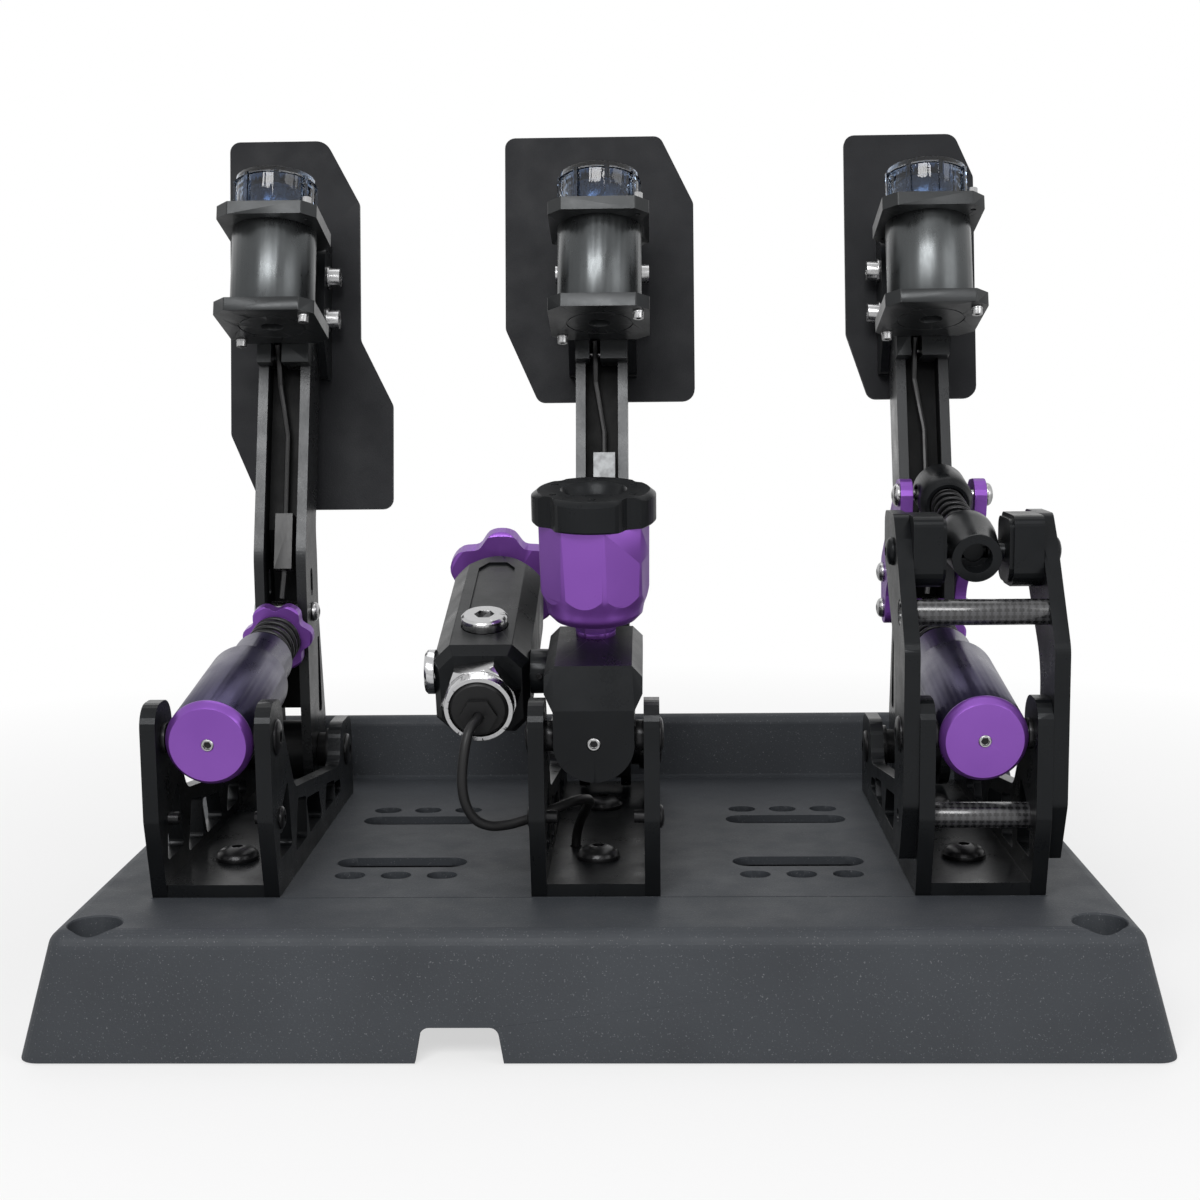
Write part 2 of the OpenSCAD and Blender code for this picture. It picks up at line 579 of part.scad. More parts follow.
module motor(i) color(black) {
  on_motor(i) difference() {
    union() {
      cylinder(d = motor_d, h = can_l, center = true);
      translate([0, 0, can_l / 2]) cylinder(d = 9, h = clamp_t + 2);
      translate([0, 0, -can_l / 2 - 3]) cylinder(d = 9.6, h = 4);
    }
    translate([0, 0, can_l / 2 - 10]) cylinder(d = 5 + 2 * fit, h = 40);
  }
  on_arm(i) {
    tube(lead_pts(i), lead_d / 2, 8);
    translate([1, 6.7, plug_s(i)]) cube([i == brake ? 10 : 8, 8, i == brake ? 14 : 26], center = true);
    tube([[1, 7, plug_s(i)], [1, 7, plug_s(i) - 16], [0, 8, plug_s(i) - 26]], lead_d / 2, 8);
  }
}
module rotor(i) color(steel) on_motor(i) {
  translate([0, 0, can_l / 2 - 9]) cylinder(d = 5, h = clamp_t + 22);
  translate([0, 0, can_l / 2 + clamp_t + 4]) linear_extrude(9) difference() {
    circle(d = 27);
    translate([-20, 2.5]) square([40, 30]);
    circle(d = 5 - 0.02);
  }
}
dome_d = 38.6;
module dome(i) color([0.55, 0.65, 0.85, 0.4]) on_motor(i)
  translate([0, 0, clamp_gap / 2 + clamp_t / 2 + 0.05]) difference() {
    union() {
      cylinder(d = dome_d - 3, h = dome_h);
      translate([0, 0, dome_h - 3]) cylinder(d1 = dome_d - 1, d2 = dome_d - 6, h = 3);
      for (a = [0 : 45 : 315]) rotate(a + 12) translate([dome_d / 2 - 2.4, 0, (dome_h - 2) / 2])
        cube([4.4, 2.2, dome_h - 2], center = true);
      cylinder(d = dome_d, h = 1.6);
    }
    translate([0, 0, -1]) cylinder(d = dome_d - 7, h = dome_h - 1.5);
  }

// Spring barrels
step_y = 65;
barrel_end = 95;
seat_y = 58;
knob_y = 127;
knob_t = 7;
throttle_stroke = 14.1;
rod_end = turn_in(pin_y, pin_z, pivot_y, pivot_z, barrel_tilt);
rod_back = rod_end[0] - 9.6;
piston_y = 27;
pivot_bolt_d = 8;
cap_y = pivot_bolt_d / 2 + 0.6;
module on_barrel(i) bay(i) translate([0, pivot_y, pivot_z]) rotate([barrel_tilt, 0, 0]) children();
module barrel(i) color(purple) on_barrel(i) difference() {
  union() {
    rod_y(barrel_d, -cap_y, step_y - 1);
    cone_y(barrel_d, barrel_d - 2, step_y - 1, step_y);
    rod_y(neck_d, step_y - 2, barrel_end);
  }
  rod_y(barrel_d - 7, 10, seat_y - 8);
  rod_y(rod_d + 2 * fit, seat_y - 9, seat_y + 1);
  rod_y(spring_d + 1, seat_y, barrel_end + 1);
  rod_y(6, -cap_y - 1, 11);
  for (s = [-1, 1]) rod_x(pivot_bolt_d + 2 * fit, 14, s * (barrel_d / 2 + 0.4));
}
module barrel_cap(i) color(purple) on_barrel(i) difference() {
  union() {
    cone_y(barrel_d - 4.4, barrel_d, -cap_y - 4, -cap_y - 0.8);
    rod_y(barrel_d, -cap_y - 0.8, -cap_y - 0.05);
    rod_y(5.8, -cap_y - 0.1, 8);
  }
  rod_y(5, -9, -4);
}
// The block at a rod's end, its hole wider than the arm's cross pin by the open pivot's play
module end_block(y0) difference() {
  profile_x(arm_w - 2 * arm_flange - 1.2)
    polygon(rounded([[y0, -6.5, 2], [rod_end[0] + 3.4, -6.5, 3], [rod_end[0] + 5.8, 9, 5],
      [rod_end[0] - 5.6, 11, 5], [y0, 6, 2]]));
  translate([0, rod_end[0], rod_end[1]]) rod_x(pin_d + 1.9, arm_w);
}
module rod(i) color(steel) on_barrel(i) {
  rod_y(rod_d, piston_y, rod_back);
  rod_y(barrel_d - 7.1, piston_y, piston_y + 8);
  end_block(rod_back - 1);
}
// A helix along +Y as one unbroken tube with closed, flat ends
function coil_pt(r, y0, y1, turns, t) =
  [r * cos(360 * turns * t), y0 + (y1 - y0) * t, r * sin(360 * turns * t)];
function coil(r, y0, y1, turns) = [for (k = [0 : 8 * turns]) coil_pt(r, y0, y1, turns, k / (8 * turns))];
// The least gap between a coil's turns, from its points that lie over half a turn apart
function least_gap(pts, wire) =
  min([for (i = [0 : len(pts) - 6], j = [i + 5 : len(pts) - 1]) norm(pts[i] - pts[j])]) - wire;
function ring(p, dir, up, r, n) =
  let (u = unit(up - (up * dir) * dir), v = cross(dir, u))
  [for (k = [0 : n - 1]) p + r * (cos(360 * k / n) * u + sin(360 * k / n) * v)];
function rings(pts, r, n, up) = [for (i = [0 : len(pts) - 1])
  let (d = unit(pts[min(i + 1, len(pts) - 1)] - pts[max(i - 1, 0)])) each ring(pts[i], d, up(pts[i]), r, n)];
module sweep(pts, r, n, up) polyhedron(
  points = rings(pts, r, n, up),
  faces = concat([[for (k = [0 : n - 1]) k]],
    [for (i = [0 : len(pts) - 2], k = [0 : n - 1]) let (a = i * n, b = a + n, m = (k + 1) % n)
      each [[a + k, b + m, a + m], [a + k, b + k, b + m]]],
    [[for (k = [n - 1 : -1 : 0]) (len(pts) - 1) * n + k]]));
module tube(pts, r, n) sweep(pts, r, n, function(p) [1, 0.1, 0]);
module wound(pts, wire) sweep(pts, wire / 2, 6, function(p) [0, 1, 0]);
spring_turns = 11;
spring_pts = coil((spring_d - wire_d) / 2, seat_y + 0.3 + wire_d / 2, knob_y - 0.3 - wire_d / 2,
  spring_turns);
echo("least gap in a barrel spring", least_gap(spring_pts, wire_d));
module barrel_spring(i) color(black) on_barrel(i) wound(spring_pts, wire_d);
module knob(i) color(purple) on_barrel(i) difference() {
  translate([0, knob_y, 0]) rotate([-90, 0, 0]) intersection() {
    linear_extrude(knob_t) polygon(star(knob_d / 2, 3.4, 6, 12));
    rotate_extrude() polygon([[0, 0], [knob_d / 2 - 1, 0], [knob_d / 2, 1], [knob_d / 2, knob_t - 1],
      [knob_d / 2 - 1, knob_t], [0, knob_t]]);
  }
  rod_y(rod_d + 2 * fit, knob_y - 1, knob_y + knob_t + 1);
}

// Brake hydraulics
master_back = 92;
block_l = 57;
face_y = 10;
face_slope = 6;
block_z = [13.5, 29.5];
cup_y = 37;
cup_z0 = 7;
neck_af = 14;
block_in = master_d / 2 - 0.1;
block_pts = mirrored([[-block_w / 2 + 4, block_z[1], 0], [-block_w / 2, block_z[1] - 4, 0],
  [-block_w / 2, block_z[0] + 6, 0], [-block_in, block_z[0] - 0.5, 0], [-block_in, 0, 0]]);
module master_cylinder() color(satin) on_barrel(brake) difference() {
  union() {
    translate([0, block_l - face_y, 0]) rotate([90, 0, 0]) linear_extrude(block_l)
      polygon([for (p = block_pts) [p[0], p[1]]]);
    rod_y(master_d, -face_y, master_back - 6);
    cone_y(master_d, 24, master_back - 6, master_back);
  }
  rod_y(19, 8, master_back - 8);
  rod_y(rod_d + 2 * fit, master_back - 9, master_back + 1);
  translate([0, cup_y, 5]) cylinder(d = 8, h = 40);
  for (s = [-1, 1]) rod_x(pivot_bolt_d + 2 * fit, 14, s * (master_d / 2 + 0.4));
  rod_y(5.5, -face_y - 1, -face_y + 3);
  profile_x(block_w + 2) polygon([[-face_y - 1, block_z[0]], [-face_y, block_z[0]],
    [-face_y + face_slope, block_z[1]], [-face_y + face_slope, block_z[1] + 1],
    [-face_y - 1, block_z[1] + 1]]);
  bridge_place() rod_x(12, 12, bridge_in + 0.5 - block_in - 6);
  bridge_place() rod_x(4, 14, -8);
}
module master_pushrod() color(steel) on_barrel(brake) {
  rod_y(rod_d, master_back - 30, rod_back);
  rod_y(18.9, master_back - 30, master_back - 20);
  rod_y(14, rod_back - 22, rod_back - 17);
  end_block(rod_back - 9);
}
module fluid_cup() color(purple) on_barrel(brake) translate([0, cup_y, block_z[1]]) difference() {
  union() {
    cylinder(d = 16, h = 2);
    translate([0, 0, 2]) cylinder(d = neck_af / cos(30), h = cup_z0 - 2 + 0.5, $fn = 6);
    intersection() {
      translate([0, 0, cup_z0]) rotate(11.5) cylinder(d = cup_af / cos(22.5), h = cup_h, $fn = 8);
      rotate_extrude() polygon([[0, cup_z0], [cup_af * 0.4, cup_z0], [cup_af * 0.46, cup_z0 + 2.6],
        [cup_af * 0.475, cup_z0 + 6], [cup_af * 0.53, cup_z0 + 12],
        [cup_af * 0.54, cup_z0 + cup_h], [0, cup_z0 + cup_h]]);
    }
    translate([0, 0, -6]) cylinder(d = 7.9, h = 8);
  }
  translate([0, 0, cup_z0 + 4]) cylinder(d = cup_af - 6, h = cup_h);
  translate([0, 0, -7]) cylinder(d = 4, h = 30);
}
module fluid_cap() color(black) on_barrel(brake) translate([0, cup_y, block_z[1] + cup_z0 + cup_h + 0.1])
  difference() {
    union() {
      intersection() {
        linear_extrude(12.5) rotate(-6) polygon(star_wide(cap_d / 2, 3.6, 4, 20));
        rotate_extrude() polygon([[0, 0], [cap_d / 2 - 0.8, 0], [cap_d / 2, 0.8], [cap_d / 2, 10.5],
          [cap_d / 2 - 2.4, 12.5], [0, 12.5]]);
      }
      translate([0, 0, -5]) cylinder(d = cup_af - 6.2, h = 6);
    }
    translate([0, 0, 8]) cylinder(d1 = 21, d2 = 27, h = 5);
    for (a = [30 : 60 : 330]) rotate(a) translate([cap_d * 0.365, 0, 9]) cylinder(d = 3, h = 5);
  }
function star_wide(r, cut, n, steps) =
  [for (i = [0 : n * steps - 1]) let (a = 360 * i / (n * steps))
    (r - cut * pow((1 - cos(a * n)) / 2, 6)) * [cos(a), sin(a)]];

slave_y = 33;
slave_z = 74;
slave_c = 6.6;
port_z = 81.5;
port_y = 42;
bridge_in = 3.5;
module on_slave() bay(brake) translate([slave_x, slave_y, slave_z]) rotate([slave_tilt, 0, 0]) children();
// A bay's point (y, z) seen from a frame at (y0, z0) tilted by a
function turn_in(y, z, y0, z0, a) =
  [(y - y0) * cos(a) + (z - z0) * sin(a), (z - z0) * cos(a) - (y - y0) * sin(a)];
port_master = turn_in(port_y, port_z, pivot_y, pivot_z, barrel_tilt);
port_local = turn_in(port_y, port_z, slave_y, slave_z, slave_tilt);
module bridge_place() translate([0, port_master[0], port_master[1]]) children();
plug_y = 25;
slave_pts = mirrored([[-slave_w / 2 + slave_c, slave_w / 2, 0.6], [-slave_w / 2, slave_w / 2 - slave_c, 0.6],
  [-slave_w / 2, -slave_w / 2 + slave_c, 0.6], [-slave_w / 2 + slave_c, -slave_w / 2, 0.6]]);
front_cut = 5;
module pressure_cylinder() color(black) on_slave() difference() {
  intersection() {
    union() {
      translate([0, slave_l, 0]) rotate([90, 0, 0])
        linear_extrude(slave_l - front_cut) polygon(rounded(slave_pts, 3));
      translate([0, front_cut, 0]) rotate([90, 0, 0])
        linear_extrude(front_cut, scale = 0.86) polygon(rounded(slave_pts, 3));
    }
    rotate([-90, 0, 0]) rotate_extrude() polygon([[0, -1], [slave_w * 0.66, -1],
      [slave_w * 0.66, slave_l - 26], [slave_w / 2, slave_l - 9],
      [slave_w / 2 - 3.5, slave_l], [0, slave_l]]);
  }
  translate([0, 0, slave_w / 2 - 1]) linear_extrude(3)
    polygon(rounded(mirrored([[-8, plug_y, 0], [-8, slave_l - 24, 1], [-4, slave_l - 17, 1]]), 3));
  translate([0, plug_y, slave_w / 2 - 1]) cylinder(d = 19.6, h = 3);
  rod_y(24, 12, slave_l - 8);
  rod_y(22, -1, 13);
  rod_y(10.2, slave_l - 9, slave_l + 1);
  translate([0, plug_y, 6]) cylinder(d = 12, h = 30);
  translate([0, port_local[0], port_local[1]]) rod_x(12, 2 * slave_w);
}
module pressure_knob() color(purple) on_slave() difference() {
  union() {
    translate([0, slave_l + 2, 0]) rotate([-90, 0, 0]) intersection() {
      linear_extrude(9) rotate(30) polygon(star(slave_knob_d / 2, 5, 6, 14));
      rotate_extrude() polygon([[0, 0], [slave_knob_d / 2 - 1.5, 0], [slave_knob_d / 2, 1.5],
        [slave_knob_d / 2, 7.5], [slave_knob_d / 2 - 1.5, 9], [0, 9]]);
    }
    rod_y(18, slave_l + 0.3, slave_l + 4);
    rod_y(10, slave_l - 16, slave_l + 4);
  }
  rod_y(6, slave_l + 4, slave_l + 12);
}
module socket_plug(d, h, shank, len) difference() {
  union() {
    cylinder(d = d, h = h - 1);
    translate([0, 0, h - 1]) cylinder(d1 = d, d2 = d - 2, h = 1);
    translate([0, 0, -len]) cylinder(d = shank, h = len + 0.5);
  }
  translate([0, 0, h - 3.5]) cylinder(d = 8.5, h = 4, $fn = 6);
}
module pressure_plugs() color(steel) on_slave() {
  translate([0, plug_y, slave_w / 2 - 1]) socket_plug(19, 6, 11.9, 6);
  translate([-slave_w / 2, port_local[0], port_local[1]]) rotate([0, -90, 0]) socket_plug(18, 4, 11.9, 6);
}
module bridge_tube() color(black) bay(brake) translate([0, port_y, port_z]) {
  x0 = slave_x + slave_w / 2;
  difference() {
    union() {
      rod_x(18, -block_w / 2 - x0 - 0.4, (x0 - block_w / 2) / 2);
      rod_x(11.9, bridge_in - block_in - x0 + 2.5, (x0 - 2.5 + bridge_in - block_in) / 2);
    }
    rod_x(5, 4 * slave_w);
  }
}
hex_af = 28;
module gland_nut() color(steel) on_slave() difference() {
  union() {
    rod_y(21.9, -0.1, 8);
    intersection() {
      translate([0, -0.1, 0]) rotate([90, 0, 0]) rotate(9) cylinder(d = hex_af / cos(30), h = 9.5, $fn = 6);
      rotate([90, 0, 0]) rotate_extrude() polygon([[0, 0], [16.5, 0], [16.5, 6], [14.6, 9.6], [0, 9.6]]);
    }
    rod_y(27.4, -15, -9.2);
  }
  rod_y(23.6, -16, -5);
  rod_y(14, -16, 20);
}
module sensor_plug() color(black) on_slave() difference() {
  union() {
    rod_y(23.4, -14, -5.1);
    cone_y(21, 23.4, -15.5, -14);
    rod_y(13.8, -6, 6);
    translate([0, -15, -2]) rotate([90, 0, 0]) cylinder(d = 13 / cos(30), h = 2.5, $fn = 6);
  }
  translate([0, 0, -2]) rod_y(cable_d + 0.4, -18, -12);
}
// Sensor cable: out of the plug, down in a loop and through the channel wall
function slave_pt(y, z) = [slave_x, slave_y + y * cos(slave_tilt) - z * sin(slave_tilt),
                           slave_z + y * sin(slave_tilt) + z * cos(slave_tilt)];
cable_pts = [slave_pt(-13, -2), slave_pt(-19, -2), [-48.4, 10, 64.6], [-50, 7, 59.5], [-51.2, 5.2, 51],
  [-51.5, 4.8, 42.5], [-50.2, 5.4, 35], [-46.8, 6.8, 29], [-41.4, 8.8, 26], [-34.8, 11.4, 25.7],
  [-28.4, 14, 26.8], [-22, 17, 28.5], [-15.5, 21, 30.2], [-9.5, 26.5, 31.2], [-5, 33, 30.6],
  [-3.6, 40, 28], [-5, 47, 23.4], [-7.6, 52.6, 17.4], [-9.4, 55.6, 10.6], [-10, 56, 4], [-10, 56, 1]];
grommet = [-10, 56];
module sensor_cable() color(black) bay(brake) tube(cable_pts, cable_d / 2, 8);

// Clutch assist
assist_len = 77.8;
assist_tilt = 12.25;
link_in = arm_w / 2 + link_gap;
link_x = link_in + link_t / 2;
module on_assist() bay(clutch) translate([0, assist_y, assist_z]) rotate([assist_tilt, 0, 0]) children();
assist_pin = [assist_y + assist_len * cos(assist_tilt), assist_z + assist_len * sin(assist_tilt)];
side_low_z = 13.5;
side_reach = 7;
side_up = 14.5;
top_tube = [8, assist_z - 21.5];
function side_outline() = rounded([
  [3, side_low_z, 2], [-side_reach, 37, 8], [-side_reach, 97, 10], [assist_y - 8, assist_z + 5.5, 3],
  [assist_y, assist_z + side_up, 5], [assist_y + 26, assist_z + side_up, 5],
  [assist_y + 26, assist_z - 2.5, 10],
  [assist_y + 12, assist_z - 18.5, 24], [pivot_y + 13.5, 88, 26], [pivot_y + 13.5, side_low_z, 2]]);
module clutch_side_plates() color(black) bay(clutch) difference() {
  for (s = [-1, 1]) profile_x(side_t, s * (ch_w + side_t) / 2) polygon(side_outline());
  translate([0, pivot_y, pivot_z]) rod_x(pivot_bolt_d + 2 * shank_fit, 3 * ch_w);
  translate([0, top_tube[0], top_tube[1]]) rod_x(tube_d + 2 * fit, 3 * ch_w);
  translate([0, tab_y, tab_z]) rod_x(5 + 2 * shank_fit, 3 * ch_w);
  translate([0, assist_y, assist_z]) rod_x(assist_bolt_d + 2 * shank_fit, 3 * ch_w);
}
module clutch_tubes() color(satin) bay(clutch) {
  translate([0, top_tube[0], top_tube[1]]) difference() {
    rod_x(tube_d, ch_w + 2 * side_t - 0.4);
    rod_x(tube_d - 3, ch_w + 2 * side_t);
  }
  translate([0, tab_y, tab_z]) difference() {
    rod_x(tube_d, ch_w);
    rod_x(tube_d - 3, ch_w + 2);
  }
}
trunnion_d = 27;
trunnion_in = assist_cup_d / 2 + 0.5;
trunnion_l = ch_w / 2 - 0.05 - trunnion_in;
trunnion_edge = 1.5;
assist_bolt_d = 6;
// A block's outline: flush with the side plate's top and rounded below
function block_outline(c) = let (r = trunnion_d / 2 - c)
  rounded([[-r, side_up - c, 4], [r, side_up - c, 4], [r, -r, 8], [-r, -r, 8]]);
module clutch_trunnions() color(black) bay(clutch) translate([0, assist_y, assist_z]) for (s = [-1, 1]) {
  difference() {
    union() {
      profile_x(trunnion_l - trunnion_edge, s * (ch_w / 2 - 0.05 - (trunnion_l - trunnion_edge) / 2))
        polygon(block_outline(0));
      profile_x(trunnion_edge, s * (trunnion_in + trunnion_edge / 2)) polygon(block_outline(trunnion_edge));
    }
    rod_x(assist_bolt_d + 2 * fit, 3 * ch_w);
  }
  rotate([0, s * 90, 0]) {
    translate([0, 0, 5.5]) cylinder(d = assist_bolt_d, h = ch_w / 2 + side_t - 5.5);
    translate([0, 0, ch_w / 2 + side_t]) button(11, 3.2, 4);
  }
}
module assist_front_cup() color(black) on_assist() difference() {
  union() {
    cone_y(19.2, 19.8, -10, -5);
    cone_y(19.8, assist_cup_d, -5, 12);
    rod_y(assist_cup_d, 12, 17);
    cone_y(assist_cup_d, assist_cup_d - 4, 17, 21);
  }
  rod_y(12, -11, -2);
  rod_y(8 + 2 * fit, -3, 30);
  rod_y(assist_spring_d + 0.8, 12, 30);
  rod_x(assist_bolt_d + 2 * fit, 50);
}
module assist_rear_cup() color(black) on_assist() difference() {
  union() {
    difference() {
      union() {
        cone_y(assist_cup_d - 5, assist_cup_d, 62, 66);
        rod_y(assist_cup_d, 66, assist_len + 8);
      }
      rod_y(assist_spring_d + 0.8, 61, 66);
    }
    rod_y(8, -1, assist_len);
  }
  translate([0, assist_len, 0]) for (s = [-1, 1]) rod_x(8, 10, s * assist_cup_d / 2);
}
assist_turns = 9;
assist_wire = 1.8;
assist_pts = coil((assist_spring_d - assist_wire) / 2, 12.3 + assist_wire / 2, 65.7 - assist_wire / 2,
  assist_turns);
echo("least gap in the assist spring", least_gap(assist_pts, assist_wire));
module assist_spring() color(black) on_assist() wound(assist_pts, assist_wire);
function link_outline() = rounded([
  [assist_pin[0] - 8, assist_pin[1] + 8, 7.6], [assist_pin[0] + 10, assist_pin[1] + 6, 6],
  [pin_y + 9, link_hole_z + 6, 6], [pin_y + 7, pin_z - 7, 6], [pin_y - 7, pin_z - 7, 6],
  [pin_y - 8, link_hole_z - 8, 14], [assist_pin[0] - 4, assist_pin[1] - 10, 7]]);
module assist_links() color(purple) bay(clutch) difference() {
  for (s = [-1, 1]) profile_x(link_t - 0.1, s * link_x) polygon(link_outline());
  translate([0, pin_y, pin_z]) rod_x(pin_d + 0.1, 60);
  translate([0, pin_y, link_hole_z]) rod_x(5.1, 60);
  translate([0, assist_pin[0], assist_pin[1]]) rod_x(5.1, 60);
}

base_tray();
control_box();
channel(throttle);  // channel_throttle
channel(brake);  // channel_brake
channel(clutch, false);  // channel_clutch
channel_bolts();
wall_bolts();
pedal_axles();
clutch_side_plates();
clutch_tubes();
clutch_trunnions();
arm(throttle);  // arm_throttle
arm(brake);  // arm_brake
arm(clutch);  // arm_clutch
pedal_plate(throttle, throttle_pts);  // plate_throttle
pedal_plate(brake, brake_pts);  // plate_brake
pedal_plate(clutch, clutch_pts);  // plate_clutch
bracket(throttle);  // bracket_throttle
bracket(brake);  // bracket_brake
bracket(clutch);  // bracket_clutch
screws(throttle);  // screws_throttle
screws(brake);  // screws_brake
screws(clutch);  // screws_clutch
clamp(throttle);  // clamp_throttle
clamp(brake);  // clamp_brake
clamp(clutch);  // clamp_clutch
motor(throttle);  // motor_throttle
motor(brake);  // motor_brake
motor(clutch);  // motor_clutch
dome(throttle);  // dome_throttle
dome(brake);  // dome_brake
dome(clutch);  // dome_clutch
rotor(throttle);  // rotor_throttle
rotor(brake);  // rotor_brake
rotor(clutch);  // rotor_clutch
barrel(throttle);  // barrel_throttle
barrel(clutch);  // barrel_clutch
barrel_cap(throttle);  // barrel_cap_throttle
barrel_cap(clutch);  // barrel_cap_clutch
rod(throttle);  // rod_throttle
rod(clutch);  // rod_clutch
barrel_spring(throttle);  // spring_throttle
barrel_spring(clutch);  // spring_clutch
knob(throttle);  // knob_throttle
knob(clutch);  // knob_clutch
master_cylinder();
master_pushrod();
fluid_cup();
fluid_cap();
pressure_cylinder();
pressure_knob();
pressure_plugs();
bridge_tube();
gland_nut();
sensor_plug();
sensor_cable();
assist_front_cup();
assist_rear_cup();
assist_spring();
assist_links();
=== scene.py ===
import bpy, json, math
from mathutils import Matrix, Vector


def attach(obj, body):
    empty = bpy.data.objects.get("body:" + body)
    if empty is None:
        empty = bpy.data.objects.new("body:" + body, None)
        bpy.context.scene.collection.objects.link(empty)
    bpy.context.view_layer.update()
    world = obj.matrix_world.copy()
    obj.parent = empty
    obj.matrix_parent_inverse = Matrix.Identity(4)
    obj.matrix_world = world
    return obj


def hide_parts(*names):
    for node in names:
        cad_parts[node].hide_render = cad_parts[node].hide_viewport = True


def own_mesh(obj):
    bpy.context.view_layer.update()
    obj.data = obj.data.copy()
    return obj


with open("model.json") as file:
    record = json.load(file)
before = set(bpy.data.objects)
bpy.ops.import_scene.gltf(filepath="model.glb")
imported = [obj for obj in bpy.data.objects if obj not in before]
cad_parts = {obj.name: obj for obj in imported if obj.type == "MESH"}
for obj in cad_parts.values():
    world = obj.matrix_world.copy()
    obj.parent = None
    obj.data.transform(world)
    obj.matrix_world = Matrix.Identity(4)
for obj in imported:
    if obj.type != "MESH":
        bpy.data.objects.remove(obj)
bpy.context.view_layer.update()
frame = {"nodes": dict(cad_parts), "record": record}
nodes = frame["nodes"]

# Places in the part's own source, in metres and degrees
NAMES = ("throttle", "brake", "clutch")
BAY_X = {"throttle": -0.148, "brake": 0.0, "clutch": 0.148}
FRONT, DECK = -0.0915, 0.048  # the channels' front edge and the deck's top
ARM_BEND = (FRONT + 0.145, DECK + 0.133)  # y and z at the front of an arm's bend
ARM_LEAN = 17
ARM_INSIDE = 0.0078  # half the width of the recess in an arm
BARREL = (0.004, 0.0627, 9)  # y from FRONT, z from DECK and tilt
ASSIST = (0.028, 0.1305, 12.25)
SLAVE_TILT = 14.8


# Camera at the photograph's angle
CAMERA_AT = (0.0223, -0.7675, 0.2511)
CAMERA_LEFT, CAMERA_DOWN, CAMERA_ROLL = 1.65, 7.36, -0.64
LENS, SENSOR = 54, 36


def add_camera():
    yaw, pitch = math.radians(CAMERA_LEFT), math.radians(CAMERA_DOWN)
    roll = math.radians(CAMERA_ROLL)
    look = Vector((-math.sin(yaw) * math.cos(pitch), math.cos(yaw) * math.cos(pitch),
                   -math.sin(pitch)))
    right = Vector((math.cos(yaw), math.sin(yaw), 0))
    down = look.cross(right)
    ix = right * math.cos(roll) - down * math.sin(roll)
    iy = right * math.sin(roll) + down * math.cos(roll)
    data = bpy.data.cameras.new("camera")
    data.lens, data.sensor_width = LENS, SENSOR
    data.clip_start, data.clip_end = 0.02, 20
    camera = bpy.data.objects.new("camera", data)
    bpy.context.scene.collection.objects.link(camera)
    turn = Matrix((ix, -iy, -look)).transposed().to_4x4()
    camera.matrix_world = Matrix.Translation(CAMERA_AT) @ turn
    bpy.context.scene.camera = camera


add_camera()


